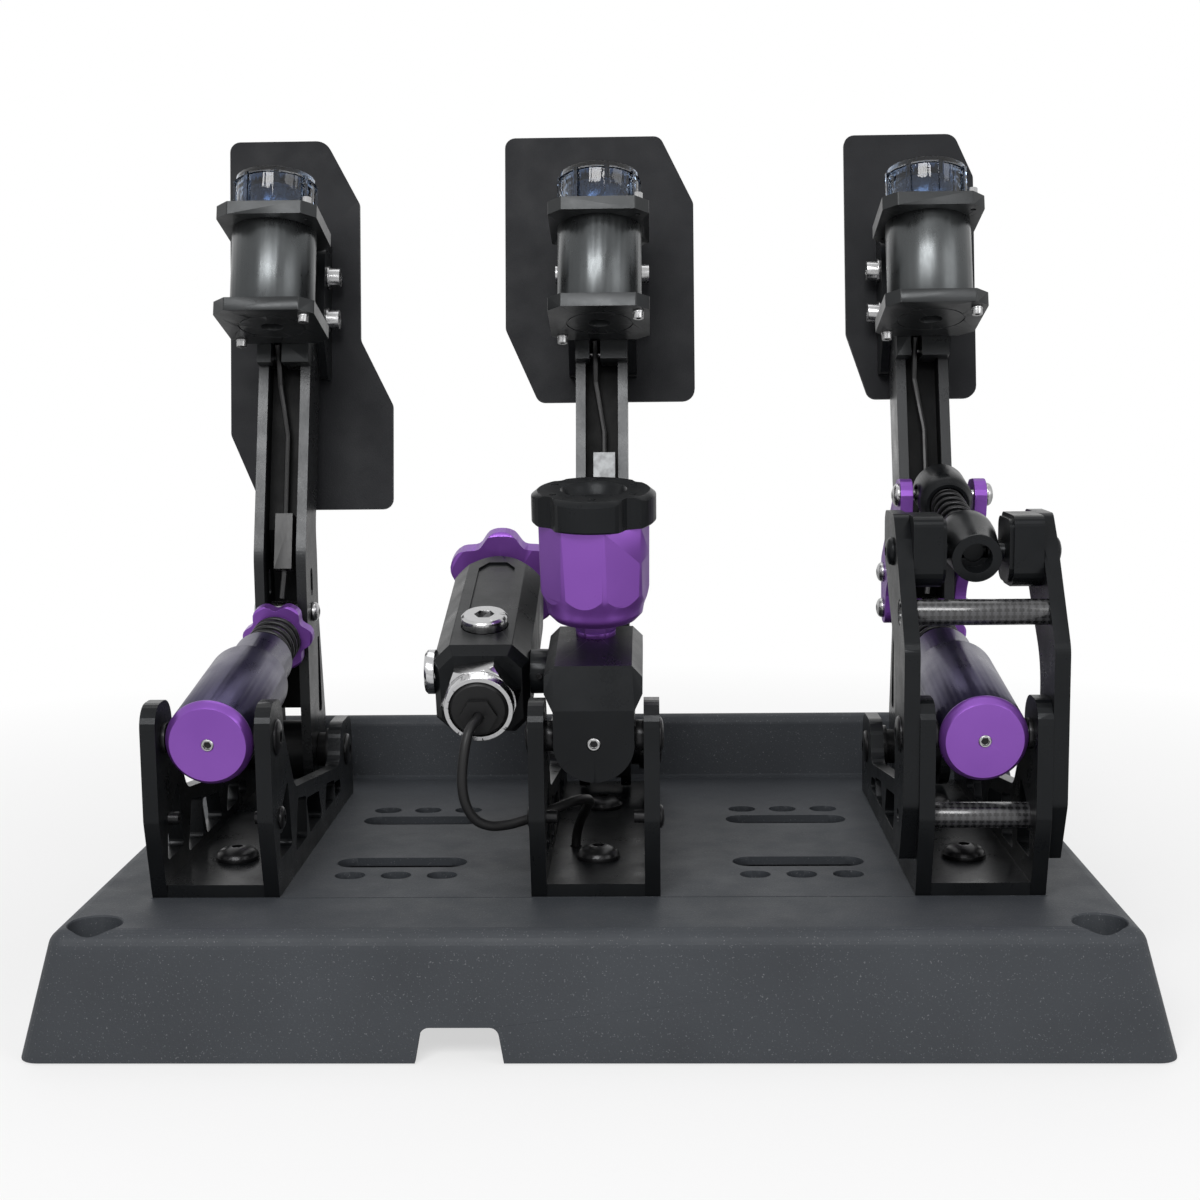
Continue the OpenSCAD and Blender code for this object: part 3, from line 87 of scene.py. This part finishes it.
# Materials: every one reads object coordinates, which are metres in the part's frame
class Tree:
    def __init__(self, name):
        self.mat = bpy.data.materials.new(name)
        self.mat.use_nodes = True
        self.n, self.l = self.mat.node_tree.nodes, self.mat.node_tree.links
        self.bsdf = self.n["Principled BSDF"]
        self.coord = self.n.new("ShaderNodeTexCoord").outputs["Object"]

    def math(self, op, a, b=0.0):
        m = self.n.new("ShaderNodeMath")
        m.operation = op
        for i, v in enumerate((a, b)):
            if isinstance(v, (int, float)):
                m.inputs[i].default_value = v
            else:
                self.l.new(v, m.inputs[i])
        return m.outputs[0]

    def split(self, vector):
        m = self.n.new("ShaderNodeSeparateXYZ")
        self.l.new(vector, m.inputs[0])
        return m.outputs

    def noise(self, scale, detail=4.0, rough=0.5, stretch=(1, 1, 1)):
        m = self.n.new("ShaderNodeMapping")
        m.inputs["Scale"].default_value = stretch
        self.l.new(self.coord, m.inputs["Vector"])
        t = self.n.new("ShaderNodeTexNoise")
        t.inputs["Scale"].default_value = scale
        t.inputs["Detail"].default_value = detail
        t.inputs["Roughness"].default_value = rough
        self.l.new(m.outputs[0], t.inputs["Vector"])
        return t.outputs["Fac"]

    def remap(self, v, low, high, to_low, to_high):
        m = self.n.new("ShaderNodeMapRange")
        for i, x in enumerate((low, high, to_low, to_high)):
            m.inputs[i + 1].default_value = x
        self.l.new(v, m.inputs[0])
        return m.outputs[0]

    def mix(self, fac, a, b):
        m = self.n.new("ShaderNodeMix")
        m.data_type = "RGBA"
        for i, v in ((0, fac), (6, a), (7, b)):
            if isinstance(v, bpy.types.NodeSocket):
                self.l.new(v, m.inputs[i])
            else:
                m.inputs[i].default_value = (*v, 1)
        return m.outputs[2]

    def shift(self, v, mask, by):
        """v, with `by` added where the mask is 1."""
        return self.math("ADD", v, self.math("MULTIPLY", mask, by))

    def bump(self, height, strength, distance):
        b = self.n.new("ShaderNodeBump")
        b.inputs["Strength"].default_value = strength
        b.inputs["Distance"].default_value = distance
        self.l.new(height, b.inputs["Height"])
        self.l.new(b.outputs[0], self.bsdf.inputs["Normal"])

    def source(self, name):
        """What feeds an input of the shader so far."""
        return self.bsdf.inputs[name].links[0].from_socket

    def set(self, **kw):
        for k, v in kw.items():
            s = self.bsdf.inputs[k.replace("_", " ")]
            if isinstance(v, bpy.types.NodeSocket):
                self.l.new(v, s)
            else:
                s.default_value = (*v, 1) if isinstance(v, tuple) else v

    def arm_place(self):
        """x, y, depth and height from an arm's bend, the last two along its leaning part."""
        lean = math.radians(ARM_LEAN)
        x, y, z = self.split(self.coord)
        y, z = self.math("SUBTRACT", y, ARM_BEND[0]), self.math("SUBTRACT", z, ARM_BEND[1])
        depth = self.math("SUBTRACT", self.math("MULTIPLY", y, math.cos(lean)),
                          self.math("MULTIPLY", z, math.sin(lean)))
        height = self.math("ADD", self.math("MULTIPLY", y, math.sin(lean)),
                           self.math("MULTIPLY", z, math.cos(lean)))
        return x, y, depth, height


SPREAD, FINE_SPREAD = 0.06, 0.03  # of the roughness, by cloud and by grain


def finish_of(name, dark, light, rough, metallic, grain=900, grain_depth=0.00004,
              strength=0.5, stretch=(1, 1, 1), gloss=0.5):
    """A finish with clouded tones, uneven sheen and a fine grain."""
    t = Tree(name)
    grains = t.noise(grain, 3, 0.6, stretch)
    sheen = t.remap(t.noise(70, 4), 0.3, 0.7, rough - SPREAD, rough + SPREAD)
    t.set(Base_Color=t.mix(t.remap(t.noise(22, 3), 0.3, 0.7, 0, 1), dark, light),
          Metallic=metallic, Specular_IOR_Level=gloss,
          Roughness=t.math("ADD", sheen, t.remap(grains, 0.3, 0.7, -FINE_SPREAD, FINE_SPREAD)))
    t.bump(grains, strength, grain_depth)
    return t


def steel(name, rough, tone):
    return finish_of(name, (tone * 0.9,) * 3, (tone, tone, tone * 1.02), rough, 1.0,
                     1500, 0.00001)


def tray_plastic():
    """Grained plastic with pale specks."""
    t = finish_of("grained_plastic", (0.035, 0.0385, 0.0440), (0.042, 0.0465, 0.0530),
                  0.55, 0.0, 1100, 0.00012, 0.9, gloss=0.22)
    speck = t.remap(t.noise(1500, 1), 0.67, 0.76, 0, 0.6)
    t.set(Base_Color=t.mix(speck, t.source("Base Color"), (0.17, 0.175, 0.185)))
    return t


CAN_BACK, CAN_LOW = -0.0108, 0.083  # a can ends at this depth and at this height
PLUG_HEIGHT, PLUG_HALF = 0.0265, 0.0072  # the plug's middle and half its length
BAY_HALF = 0.03


def motor_paint():
    """A grey can; the lead and plug in the arm's web are black, the brake's plug is milky."""
    t = finish_of("satin_can", (0.060, 0.064, 0.066), (0.080, 0.085, 0.087), 0.30, 0.9,
                  900, 0.00001, 0.3, (1, 1, 0.05))
    x, _, depth, height = t.arm_place()
    lead = t.math("MAXIMUM", t.math("GREATER_THAN", depth, CAN_BACK),
                  t.math("LESS_THAN", height, CAN_LOW))
    from_plug = t.math("ABSOLUTE", t.math("SUBTRACT", height, PLUG_HEIGHT))
    plug = t.math("MULTIPLY", t.math("LESS_THAN", from_plug, PLUG_HALF),
                  t.math("LESS_THAN", t.math("ABSOLUTE", x), BAY_HALF))
    milky = t.mix(t.remap(t.noise(260, 2), 0.35, 0.65, 0, 1),
                  (0.20, 0.205, 0.21), (0.40, 0.415, 0.425))
    dark = t.mix(plug, (0.010, 0.010, 0.0105), milky)
    t.set(Base_Color=t.mix(lead, t.source("Base Color"), dark),
          Metallic=t.shift(0.9, lead, -0.9), Roughness=t.shift(t.source("Roughness"), lead, 0.15))
    return t


RECESS_SHADE_DEPTH, RECESS_SHADE_Y = (0.0005, 0.004), (-0.004, 0.002)  # where the painted shade in the recess sets in


def arm_black():
    """Satin flanges; the recess between them, behind the flange fronts, is dull and darker, a
    painted shade.
    """
    t = finish_of("arm_black", (0.0115, 0.0123, 0.0133), (0.0165, 0.0176, 0.0190), 0.30, 0.4,
                  gloss=0.4)
    x, y, depth, _ = t.arm_place()
    x = t.math("ABSOLUTE", x)
    across = t.math("MINIMUM", x, t.math("ABSOLUTE", t.math("SUBTRACT", x, BAY_X["clutch"])))
    behind = t.math("MINIMUM", t.remap(depth, *RECESS_SHADE_DEPTH, 0, 1), t.remap(y, *RECESS_SHADE_Y, 0, 1))
    # painted shade: the recess behind the flanges is darkened where the flanges would shade it
    recess_painted_shade = t.math("MULTIPLY", t.math("LESS_THAN", across, ARM_INSIDE), behind)
    t.set(Base_Color=t.mix(recess_painted_shade, t.source("Base Color"), (0.0030, 0.0032, 0.0035)),
          Roughness=t.shift(t.source("Roughness"), recess_painted_shade, 0.2),
          Specular_IOR_Level=t.shift(0.4, recess_painted_shade, -0.32), Metallic=t.shift(0.4, recess_painted_shade, -0.4))
    return t


def smoked_clear():
    t = Tree("smoked_clear")
    cloud = t.remap(t.noise(90, 2), 0.35, 0.65, 0, 1)
    t.set(Base_Color=t.mix(cloud, (0.13, 0.18, 0.27), (0.19, 0.25, 0.35)),
          Roughness=t.remap(t.noise(60), 0.3, 0.7, 0.03, 0.10), IOR=1.47,
          Transmission_Weight=1.0)
    t.bump(t.noise(160, 2), 0.15, 0.0001)
    return t


WEAVE, WEAVES_ROUND = 0.0056, 6.0  # length of the pattern and its count round the tube


def carbon():
    """A checker of strands round a tube that lies along X."""
    t = Tree("carbon_weave")
    normal = t.split(t.n.new("ShaderNodeNewGeometry").outputs["True Normal"])
    turn = t.math("MULTIPLY", t.math("ARCTAN2", normal[2], normal[1]), WEAVES_ROUND)
    x = t.math("MULTIPLY", t.split(t.coord)[0], 2 * math.pi / WEAVE)
    u = t.math("SINE", t.math("ADD", x, turn))
    v = t.math("SINE", t.math("SUBTRACT", x, turn))
    w = t.remap(t.math("MULTIPLY", u, v), -0.25, 0.25, 0, 1)
    t.set(Base_Color=t.mix(w, (0.011, 0.011, 0.012), (0.046, 0.046, 0.049)),
          Roughness=t.remap(w, 0, 1, 0.24, 0.42), Metallic=0.2,
          Coat_Weight=0.6, Coat_Roughness=0.12)
    t.bump(w, 0.4, 0.00005)
    return t


TREES = {
    # painted shade: the barrels are the caps' purple anodising, in a darker copy for their shade
    "purple_painted_shade": finish_of("purple_anodised_painted_shade", (0.032, 0.027, 0.066),
                             (0.044, 0.037, 0.088), 0.32, 0.8, 1400, 0.00002),
    "satin_black": finish_of("satin_black", (0.020, 0.0215, 0.0225),
                             (0.027, 0.029, 0.0305), 0.34, 0.5, gloss=0.4),
    "nylon": finish_of("nylon", (0.55, 0.56, 0.57), (0.66, 0.67, 0.68), 0.45, 0.0,
                       1200, 0.00003),
    "arm_black": arm_black(),
    "tray": tray_plastic(),
    "plate": finish_of("powder_coat", (0.0105, 0.0110, 0.0128), (0.0140, 0.0147, 0.0168),
                       0.55, 0.0, 1800, 0.00008, 0.8, gloss=0.14),
    "black": finish_of("black_anodised", (0.0060, 0.0067, 0.0076),
                       (0.0095, 0.0105, 0.0117), 0.32, 0.4, gloss=0.2),
    "purple": finish_of("purple_anodised", (0.185, 0.060, 0.345), (0.225, 0.078, 0.405),
                        0.36, 0.6, 1400, 0.00002),
    "steel": steel("satin_steel", 0.27, 0.42),
    "black_steel": finish_of("black_oxide_steel", (0.012, 0.012, 0.013),
                             (0.020, 0.020, 0.021), 0.32, 0.6, 1200, 0.00002, gloss=0.35),
    "chrome": steel("bright_plate", 0.17, 0.50),
    "clear": smoked_clear(),
    "carbon": carbon(),
    "motor": motor_paint(),
    "rubber": finish_of("rubber", (0.007, 0.007, 0.0075), (0.011, 0.011, 0.0115),
                        0.45, 0.0, 1300, 0.00003, gloss=0.25),
    "box": finish_of("box_plastic", (0.012,) * 3, (0.018,) * 3, 0.5, 0),
}
M = {slot: tree.mat for slot, tree in TREES.items()}

# Nodes whose look isn't that of their slot; the barrels' darker purple is painted shade
LOOKS = {"barrel_throttle": "purple_painted_shade", "barrel_clutch": "purple_painted_shade",
         **{"arm_" + n: "arm_black" for n in NAMES},
         **{"clamp_" + n: "satin_black" for n in NAMES}}
slots = {s["node"]: s["material_slot"] for s in frame["record"]["subparts"]}
for name, obj in nodes.items():
    obj.data.materials.clear()
    obj.data.materials.append(M[LOOKS.get(name, slots[name])])


# Fine edges: the CAD meshes are welded and given a small bevel, as modifiers only
WELD, EDGE, EDGE_ANGLE = 0.000012, 0.00035, 38  # metres and degrees
EDGES = {"base_tray": 0.0008, "spring_throttle": 0, "spring_clutch": 0, "assist_spring": 0,
         "sensor_cable": 0}


def soften(obj, width):
    weld = obj.modifiers.new("weld", "WELD")
    weld.merge_threshold = WELD
    b = obj.modifiers.new("bevel", "BEVEL")
    b.width, b.segments = width, 2
    b.limit_method, b.angle_limit = "ANGLE", math.radians(EDGE_ANGLE)
    b.harden_normals, b.use_clamp_overlap = True, True


for name, obj in nodes.items():
    if EDGES.get(name, EDGE):
        soften(obj, EDGES.get(name, EDGE))


# Pieces made here
def add_mesh(name, verts, faces, mat, body, slot=None):
    me = bpy.data.meshes.new(name)
    me.from_pydata([tuple(v) for v in verts], [], faces)
    me.validate()
    me.update()
    me.polygons.foreach_set("use_smooth", [True] * len(me.polygons))
    ob = bpy.data.objects.new(name, me)
    bpy.context.scene.collection.objects.link(ob)
    me.materials.append(M[mat])
    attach(ob, body)
    return ob


def frame_at(origin, along, up=(0, 0, 1)):
    """A frame at a point, its Y axis along one direction and its Z axis near another."""
    y = Vector(along).normalized()
    z = (Vector(up) - Vector(up).dot(y) * y).normalized()
    return Matrix.Translation(Vector(origin)) @ Matrix((y.cross(z), y, z)).transposed().to_4x4()


def bay_frame(n, y=0.0, z=0.0, tilt=0.0):
    """A frame in a pedal's bay, its Y axis towards the driver and tilted up."""
    t = math.radians(tilt)
    return frame_at((BAY_X[n], FRONT + y, DECK + z), (0, math.cos(t), math.sin(t)))


def at_mm(m, x, y, z, along=(0, 1, 0), up=(0, 0, 1)):
    """A frame at a point of m given in millimetres, its Y axis along a direction of m."""
    r = m.to_3x3()
    return frame_at(m @ Vector((x / 1000, y / 1000, z / 1000)), r @ Vector(along), r @ Vector(up))


def ring_angles(count):
    return [2 * math.pi * k / count for k in range(count)]


def tube_mesh(points, r, sides):
    """Vertices and faces of a closed tube along a line of points."""
    pts = [Vector(p) for p in points]
    verts, faces = [], []
    start = (pts[1] - pts[0]).normalized()
    ref = Vector((0, 1, 0.02)) if abs(start.y) < 0.9 else Vector((0, 0, 1))
    for i, p in enumerate(pts):
        d = (pts[min(i + 1, len(pts) - 1)] - pts[max(i - 1, 0)]).normalized()
        ref = (ref - ref.dot(d) * d).normalized()
        side = d.cross(ref)
        verts += [p + r * (math.cos(a) * ref + math.sin(a) * side) for a in ring_angles(sides)]
        if i:
            b = (i - 1) * sides
            for k in range(sides):
                m = (k + 1) % sides
                faces.append((b + k, b + m, b + sides + m, b + sides + k))
    faces.append(tuple(range(sides))[::-1])
    faces.append(tuple(len(pts) * sides - sides + k for k in range(sides)))
    return verts, faces


COIL_STEPS, COIL_SIDES = 28, 12  # points a turn and sides of the wire
CLOSED = 0.35  # pitch of the end turns, as a share of the mean


def coil_share(t, dead):
    """How far along a coil the share t of its turns has come; the end turns lie closer."""
    if t < dead:
        return CLOSED * t
    if t > 1 - dead:
        return 1 - CLOSED * (1 - t)
    return CLOSED * dead + (t - dead) * (1 - 2 * CLOSED * dead) / (1 - 2 * dead)


def spring(name, mat4, d, wire, y0, y1, turns, node, body):
    """A coil along mat4's Y axis in place of a node's plain spring."""
    r, y0, y1 = (d - wire) / 2, y0 + wire / 2, y1 - wire / 2
    pts, steps = [], int(turns * COIL_STEPS)
    for i in range(steps + 1):
        t = i / steps
        a = 2 * math.pi * turns * t
        y = y0 + (y1 - y0) * coil_share(t, 1.0 / turns)
        pts.append(mat4 @ Vector((r * math.cos(a), y, r * math.sin(a))))
    ob = add_mesh(name, *tube_mesh(pts, wire / 2, COIL_SIDES), "black_steel", body)
    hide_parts(node)
    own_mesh(ob)


# Spring sizes, the span each spring fills and its turns, in metres
for n in ("throttle", "clutch"):
    spring("coil_" + n, bay_frame(n, *BARREL), d=0.0224, wire=0.0023, y0=0.0583, y1=0.1267,
           turns=11, node="spring_" + n, body=n + "_barrel")
spring("coil_assist", bay_frame("clutch", *ASSIST), d=0.0145, wire=0.0018, y0=0.0123, y1=0.0657,
       turns=9, node="assist_spring", body="assist_front")


# Sensor cable: the route of the part's own source, in millimetres from FRONT and DECK
CABLE_R, CABLE_SIDES, CABLE_STEPS = 0.002, 16, 6


def slave_pt(y, z):
    """A point on the tilted side cylinder's middle plane."""
    t = math.radians(SLAVE_TILT)
    return (-46, 33 + y * math.cos(t) - z * math.sin(t), 74 + y * math.sin(t) + z * math.cos(t))


ROUTE = [slave_pt(-13, -2), slave_pt(-19, -2), (-48.4, 10, 64.6), (-50, 7, 59.5),
         (-51.2, 5.2, 51), (-51.5, 4.8, 42.5), (-50.2, 5.4, 35), (-46.8, 6.8, 29),
         (-41.4, 8.8, 26), (-34.8, 11.4, 25.7), (-28.4, 14, 26.8), (-22, 17, 28.5),
         (-15.5, 21, 30.2), (-9.5, 26.5, 31.2), (-5, 33, 30.6), (-3.6, 40, 28),
         (-5, 47, 23.4), (-7.6, 52.6, 17.4), (-9.4, 55.6, 10.6), (-10, 56, 4), (-10, 56, 1)]


def smooth_line(pts, steps):
    """A curve through all the points."""
    line = []
    for i in range(len(pts) - 1):
        p0, p1, p2 = pts[max(i - 1, 0)], pts[i], pts[i + 1]
        p3 = pts[min(i + 2, len(pts) - 1)]
        for k in range(steps):
            t = k / steps
            line.append(0.5 * ((2 * p1) + (p2 - p0) * t + (2 * p0 - 5 * p1 + 4 * p2 - p3) * t * t
                               + (3 * p1 - p0 - 3 * p2 + p3) * t ** 3))
    return line + [pts[-1]]


fine = smooth_line([Vector((x / 1000, FRONT + y / 1000, DECK + z / 1000)) for x, y, z in ROUTE],
                   CABLE_STEPS)
cable = add_mesh("cable_skin", *tube_mesh(fine, CABLE_R, CABLE_SIDES), "rubber", "brake_master")
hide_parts("sensor_cable")

SHARP = 40  # degrees: a turned piece's edges above this stay sharp


def turned(name, m, profile, mat, body, seg=48, hexr=0.0, depth=0.0, slot=None):
    """A solid turned about m's Y axis, with an optional hex socket in its far end."""
    verts, faces, rings = [], [], []
    for r, h in profile:
        rings.append(len(verts))
        verts += [m @ Vector((r * math.cos(a), h, r * math.sin(a))) for a in ring_angles(seg)]
    top = profile[-1][1]
    for h in (top, top - depth) if hexr else ():
        rings.append(len(verts))
        for a in ring_angles(seg):
            q = hexr * math.cos(math.pi / 6) / math.cos((a % (math.pi / 3)) - math.pi / 6)
            verts.append(m @ Vector((q * math.cos(a), h, q * math.sin(a))))
    for a, b in zip(rings, rings[1:]):
        for k in range(seg):
            j = (k + 1) % seg
            faces.append((a + k, b + k, b + j, a + j))
    faces.append(tuple(rings[0] + k for k in range(seg)))
    faces.append(tuple(rings[-1] + k for k in range(seg))[::-1])
    ob = add_mesh(name, verts, faces, mat, body, slot)
    ob.data.set_sharp_from_angle(angle=math.radians(SHARP))


def set_screw(name, m, r, mat, body, hexr):
    """A set screw that stands 1.5 mm out, with a black disc of painted shade on the floor of its
    hex socket.
    """
    shade_disc_r = hexr * 0.82
    # painted shade: a black disc over the socket's floor, which lies in shade
    turned(name + "_socket", m, [(shade_disc_r, 0.0002), (shade_disc_r, 0.00034)], "black_steel", body, 24)
    turned(name, m, [(r, 0), (r, 0.0012), (r - 0.0003, 0.0015)], mat, body, 36, hexr, 0.0012)


FORWARD = (0, -1, 0)
for n in ("throttle", "clutch"):
    set_screw("cap_screw_" + n, at_mm(bay_frame(n, *BARREL), 0, -7.6, 0, FORWARD), 0.00245,
              "steel", n + "_barrel", 0.0018)
master = bay_frame("brake", *BARREL)
set_screw("master_face_screw", at_mm(master, 0, -8.8, 0, FORWARD), 0.0025, "steel",
          "brake_master", 0.0018)
CAP_SCREWS, CAP_SCREW_RING, CAP_Y, CAP_TOP = 6, 17.9, 37, 86.3  # count, then millimetres
for k in range(CAP_SCREWS):
    a = math.radians(30 + 60 * k)
    place = at_mm(master, CAP_SCREW_RING * math.cos(a), CAP_Y + CAP_SCREW_RING * math.sin(a),
                  CAP_TOP, (0, 0, 1), (0, 1, 0))
    set_screw(f"fluid_cap_screw_{k}", place, 0.0014, "steel", "brake_fluid_cap", 0.0007)
set_screw("bridge_screw", at_mm(bay_frame("brake"), -22.6, 33.2, 81, FORWARD), 0.0013,
          "black_steel", "brake_master", 0.0008)
turned("cross_pin_washer", at_mm(bay_frame("throttle"), -12.25, 154, 91.4, (-1, 0, 0)),
       [(0.0058, 0), (0.0062, 0.0004), (0.0062, 0.0016), (0.0056, 0.0021)], "nylon",
       "throttle_pedal", 40, slot="clear")


# Stage
FLOOR_TONE, FLOOR_HALF, FLOOR_Z = (0.86, 0.86, 0.86), 3.0, -0.0005
GLOW_NEAR, GLOW_FAR = (0.25, 0.62), (0.75, 1.0)  # distance from the middle and share of glow
DARK_HALF = (0.19, 0.10)  # no glow under the base, so that its slots stay dark
WORLD_LIGHT = 0.3


def floor_material():
    """Pale and matt. For camera rays it glows towards white farther out."""
    t = Tree("pale_floor")
    t.set(Base_Color=FLOOR_TONE, Roughness=0.7, Specular_IOR_Level=0.2)
    far = t.n.new("ShaderNodeVectorMath")
    far.operation = "LENGTH"
    t.l.new(t.coord, far.inputs[0])
    fade = t.remap(far.outputs["Value"], GLOW_NEAR[0], GLOW_FAR[0], GLOW_NEAR[1], GLOW_FAR[1])
    reach = [t.math("DIVIDE", t.math("ABSOLUTE", axis), half)
             for axis, half in zip(t.split(t.coord), DARK_HALF)]
    outside = t.remap(t.math("MAXIMUM", *reach), 0.85, 1.0, 0, 1)
    seen = t.n.new("ShaderNodeLightPath").outputs["Is Camera Ray"]
    share = t.math("MULTIPLY", t.math("MULTIPLY", seen, fade), outside)
    glow, mixer = t.n.new("ShaderNodeEmission"), t.n.new("ShaderNodeMixShader")
    for i, socket in enumerate((share, t.bsdf.outputs[0], glow.outputs[0])):
        t.l.new(socket, mixer.inputs[i])
    t.l.new(mixer.outputs[0], t.n["Material Output"].inputs["Surface"])
    return t.mat


def add_floor():
    me = bpy.data.meshes.new("floor")
    corners = ((-1, -1), (1, -1), (1, 1), (-1, 1))
    me.from_pydata([(x * FLOOR_HALF, y * FLOOR_HALF, FLOOR_Z) for x, y in corners], [],
                   [(0, 1, 2, 3)])
    me.materials.append(floor_material())
    floor = bpy.data.objects.new("floor", me)
    bpy.context.scene.collection.objects.link(floor)
    return floor


floor = add_floor()


def white_world():
    """White behind the part and in its reflections, and a soft level of light."""
    world = bpy.data.worlds.new("world")
    bpy.context.scene.world = world
    world.use_nodes = True
    n, l = world.node_tree.nodes, world.node_tree.links
    background = n["Background"]
    background.inputs["Color"].default_value = (1, 1, 1, 1)
    path = n.new("ShaderNodeLightPath")
    seen = path.outputs["Is Camera Ray"]
    for ray in ("Is Glossy Ray", "Is Transmission Ray"):
        either = n.new("ShaderNodeMath")
        either.operation = "MAXIMUM"
        l.new(seen, either.inputs[0])
        l.new(path.outputs[ray], either.inputs[1])
        seen = either.outputs[0]
    level = n.new("ShaderNodeMapRange")
    level.inputs["To Min"].default_value = WORLD_LIGHT
    level.inputs["To Max"].default_value = 1.0
    l.new(seen, level.inputs["Value"])
    l.new(level.outputs[0], background.inputs["Strength"])


white_world()

# Lamps: name, place, aim, width, height or None for a square, and power
LAMPS = (("key", (-0.25, -1.25, 1.05), (0, 0, 0.16), 0.9, 0.5, 17),
         ("fill", (1.1, -0.8, 0.7), (0, 0, 0.15), 0.8, None, 5),
         ("top", (0, 0.5, 1.4), (0, 0, 0.1), 1.0, None, 4))
for name, place, aim, width, height, power in LAMPS:
    data = bpy.data.lights.new(name, "AREA")
    data.energy, data.size = power, width
    if height:
        data.shape, data.size_y = "RECTANGLE", height
    lamp = bpy.data.objects.new(name, data)
    bpy.context.scene.collection.objects.link(lamp)
    lamp.location = place
    lamp.rotation_euler = (Vector(aim) - Vector(place)).to_track_quat("-Z", "Y").to_euler()

view = bpy.context.scene.view_settings
view.view_transform = "Standard"
